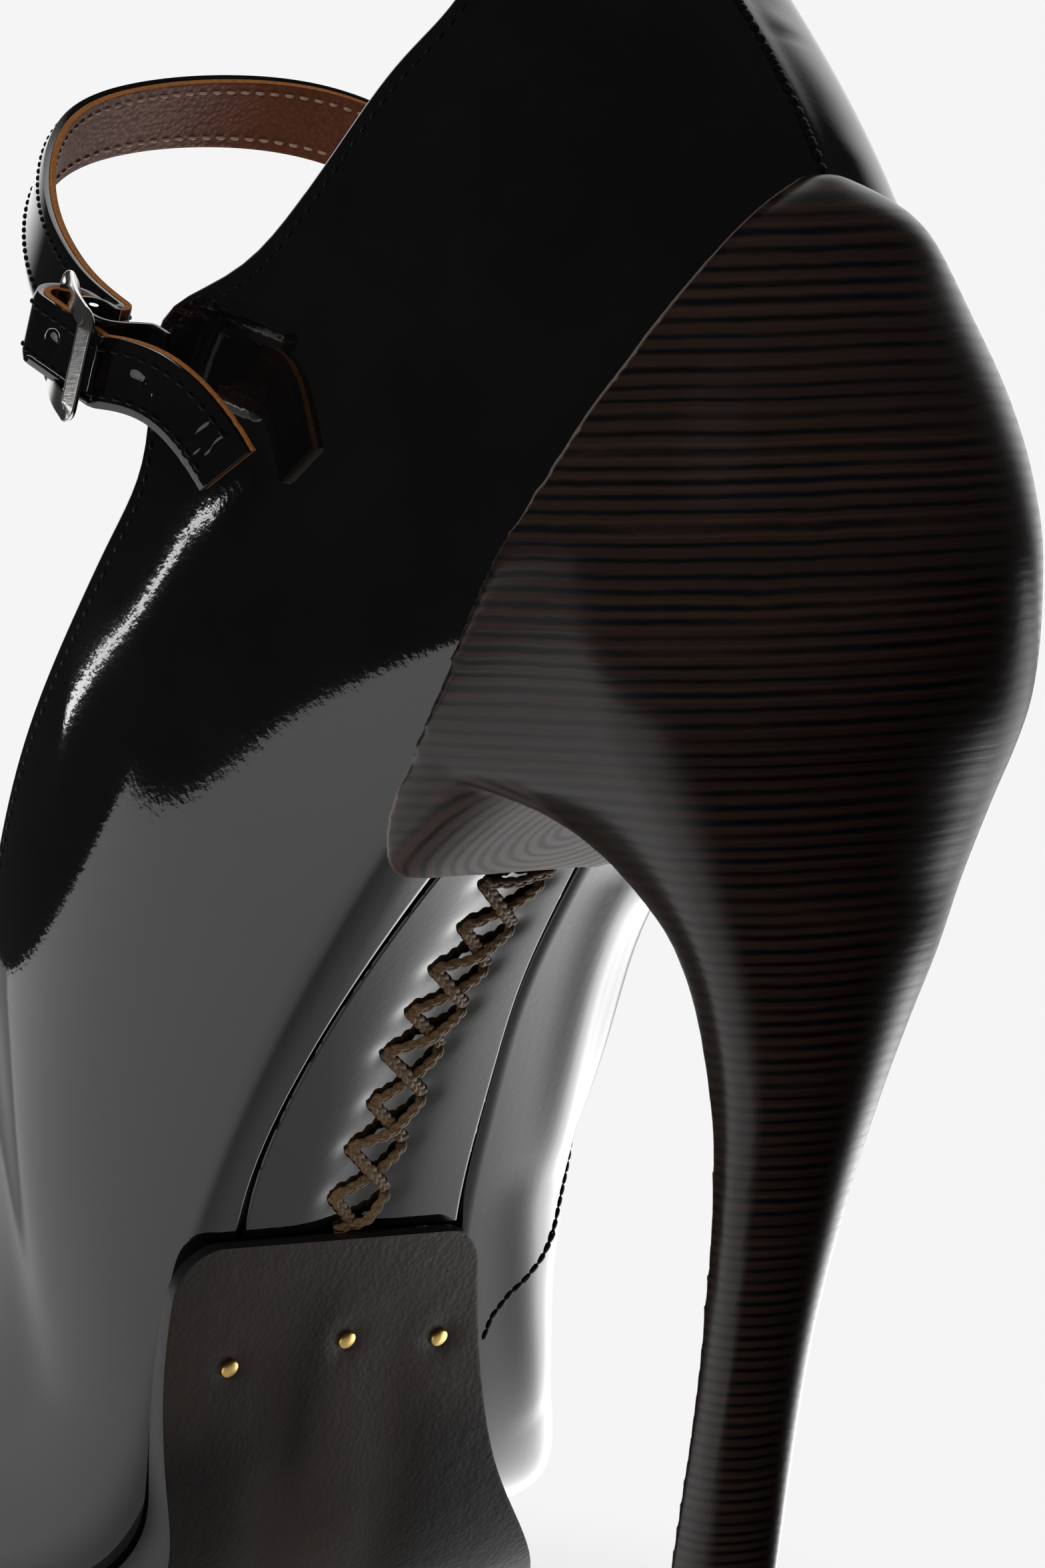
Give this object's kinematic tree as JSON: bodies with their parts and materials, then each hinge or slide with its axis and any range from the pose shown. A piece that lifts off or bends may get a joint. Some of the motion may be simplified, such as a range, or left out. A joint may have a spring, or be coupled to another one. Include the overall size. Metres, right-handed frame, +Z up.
{
  "type": "platform mary jane shoe",
  "caption": "Black patent mary jane with a very high carved wooden heel, cup-backed upper, low platform sole and a buckled instep strap.",
  "frame": {"origin": "middle of the shoe's box on the floor it stands on", "axes": "+X toward the heel, -X toward the toe, -Y the lateral side with the buckle, +Y the medial side, +Z up"},
  "size_m": [0.2104, 0.0954, 0.193],
  "materials": {
    "upper_patent": "black patent leather, mirror gloss",
    "insole_leather": "chestnut lining leather, matt",
    "cover_patent": "black patent leather, mirror gloss",
    "sole_leather": "dark brown pebbled leather with a black edge, satin",
    "heel_wood": "dark layered wood, oiled satin",
    "strap_patent": "black patent leather with a chestnut lining and raw tan edges",
    "tab_patent": "black patent leather, mirror gloss",
    "buckle_steel": "satin steel",
    "pin_steel": "satin steel",
    "nail_brass": "worn brass"
  },
  "bodies": {
    "root": {"upper": "upper_patent", "insole": "insole_leather", "waist_cover": "cover_patent", "outsole": "sole_leather", "heel": "heel_wood", "strap": "strap_patent", "buckle_tab": "tab_patent", "buckle": "buckle_steel", "buckle_pin": "pin_steel", "nail_lateral": "nail_brass", "nail_middle": "nail_brass", "nail_medial": "nail_brass"}
  },
  "joints": []
}
